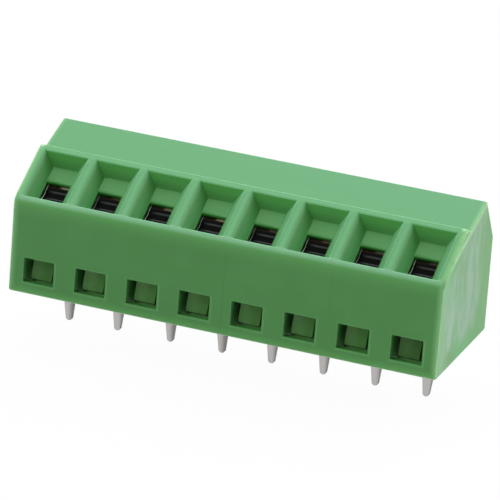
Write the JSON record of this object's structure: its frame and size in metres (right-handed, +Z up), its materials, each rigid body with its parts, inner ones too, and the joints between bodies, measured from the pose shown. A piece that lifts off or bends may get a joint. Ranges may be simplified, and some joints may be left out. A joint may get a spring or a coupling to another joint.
{
  "type": "pcb terminal block",
  "caption": "Spring-clamp terminal block for a circuit board: a green moulding with front wire entries, inclined driver recesses and solder pins below.",
  "frame": {"origin": "on the board's surface at the middle of the pin row, on the underside of the moulding", "axes": "+X along the row of ways, +Y away from the face that the wires enter, +Z up from the board"},
  "size_m": [0.0284, 0.0094, 0.0126],
  "materials": {
    "moulding": "moulded polyamide, mid green, soft sheen",
    "contact": "copper alloy under dull tin plating",
    "spring": "rolled spring steel strip with a black oxide skin and bright sheared edges"
  },
  "bodies": {
    "block": {"housing": "moulding", "contact_1": "contact", "contact_2": "contact", "contact_3": "contact", "contact_4": "contact", "contact_5": "contact", "contact_6": "contact", "contact_7": "contact", "contact_8": "contact"},
    "spring_1": {"clamp_spring_1": "spring"},
    "spring_2": {"clamp_spring_2": "spring"},
    "spring_3": {"clamp_spring_3": "spring"},
    "spring_4": {"clamp_spring_4": "spring"},
    "spring_5": {"clamp_spring_5": "spring"},
    "spring_6": {"clamp_spring_6": "spring"},
    "spring_7": {"clamp_spring_7": "spring"},
    "spring_8": {"clamp_spring_8": "spring"}
  },
  "joints": [
    {"name": "spring_1_press", "type": "hinge", "parent": "block", "child": "spring_1", "pos_m": [-0.01225, 0.00065, 0.00624], "axis": [1, 0, 0], "range_deg": [0, 8.2], "stiffness_Nm_per_rad": 0.3},
    {"name": "spring_2_press", "type": "hinge", "parent": "block", "child": "spring_2", "pos_m": [-0.00875, 0.00065, 0.00624], "axis": [1, 0, 0], "range_deg": [0, 8.2], "stiffness_Nm_per_rad": 0.3},
    {"name": "spring_3_press", "type": "hinge", "parent": "block", "child": "spring_3", "pos_m": [-0.00525, 0.00065, 0.00624], "axis": [1, 0, 0], "range_deg": [0, 8.2], "stiffness_Nm_per_rad": 0.3},
    {"name": "spring_4_press", "type": "hinge", "parent": "block", "child": "spring_4", "pos_m": [-0.00175, 0.00065, 0.00624], "axis": [1, 0, 0], "range_deg": [0, 8.2], "stiffness_Nm_per_rad": 0.3},
    {"name": "spring_5_press", "type": "hinge", "parent": "block", "child": "spring_5", "pos_m": [0.00175, 0.00065, 0.00624], "axis": [1, 0, 0], "range_deg": [0, 8.2], "stiffness_Nm_per_rad": 0.3},
    {"name": "spring_6_press", "type": "hinge", "parent": "block", "child": "spring_6", "pos_m": [0.00525, 0.00065, 0.00624], "axis": [1, 0, 0], "range_deg": [0, 8.2], "stiffness_Nm_per_rad": 0.3},
    {"name": "spring_7_press", "type": "hinge", "parent": "block", "child": "spring_7", "pos_m": [0.00875, 0.00065, 0.00624], "axis": [1, 0, 0], "range_deg": [0, 8.2], "stiffness_Nm_per_rad": 0.3},
    {"name": "spring_8_press", "type": "hinge", "parent": "block", "child": "spring_8", "pos_m": [0.01225, 0.00065, 0.00624], "axis": [1, 0, 0], "range_deg": [0, 8.2], "stiffness_Nm_per_rad": 0.3}
  ]
}
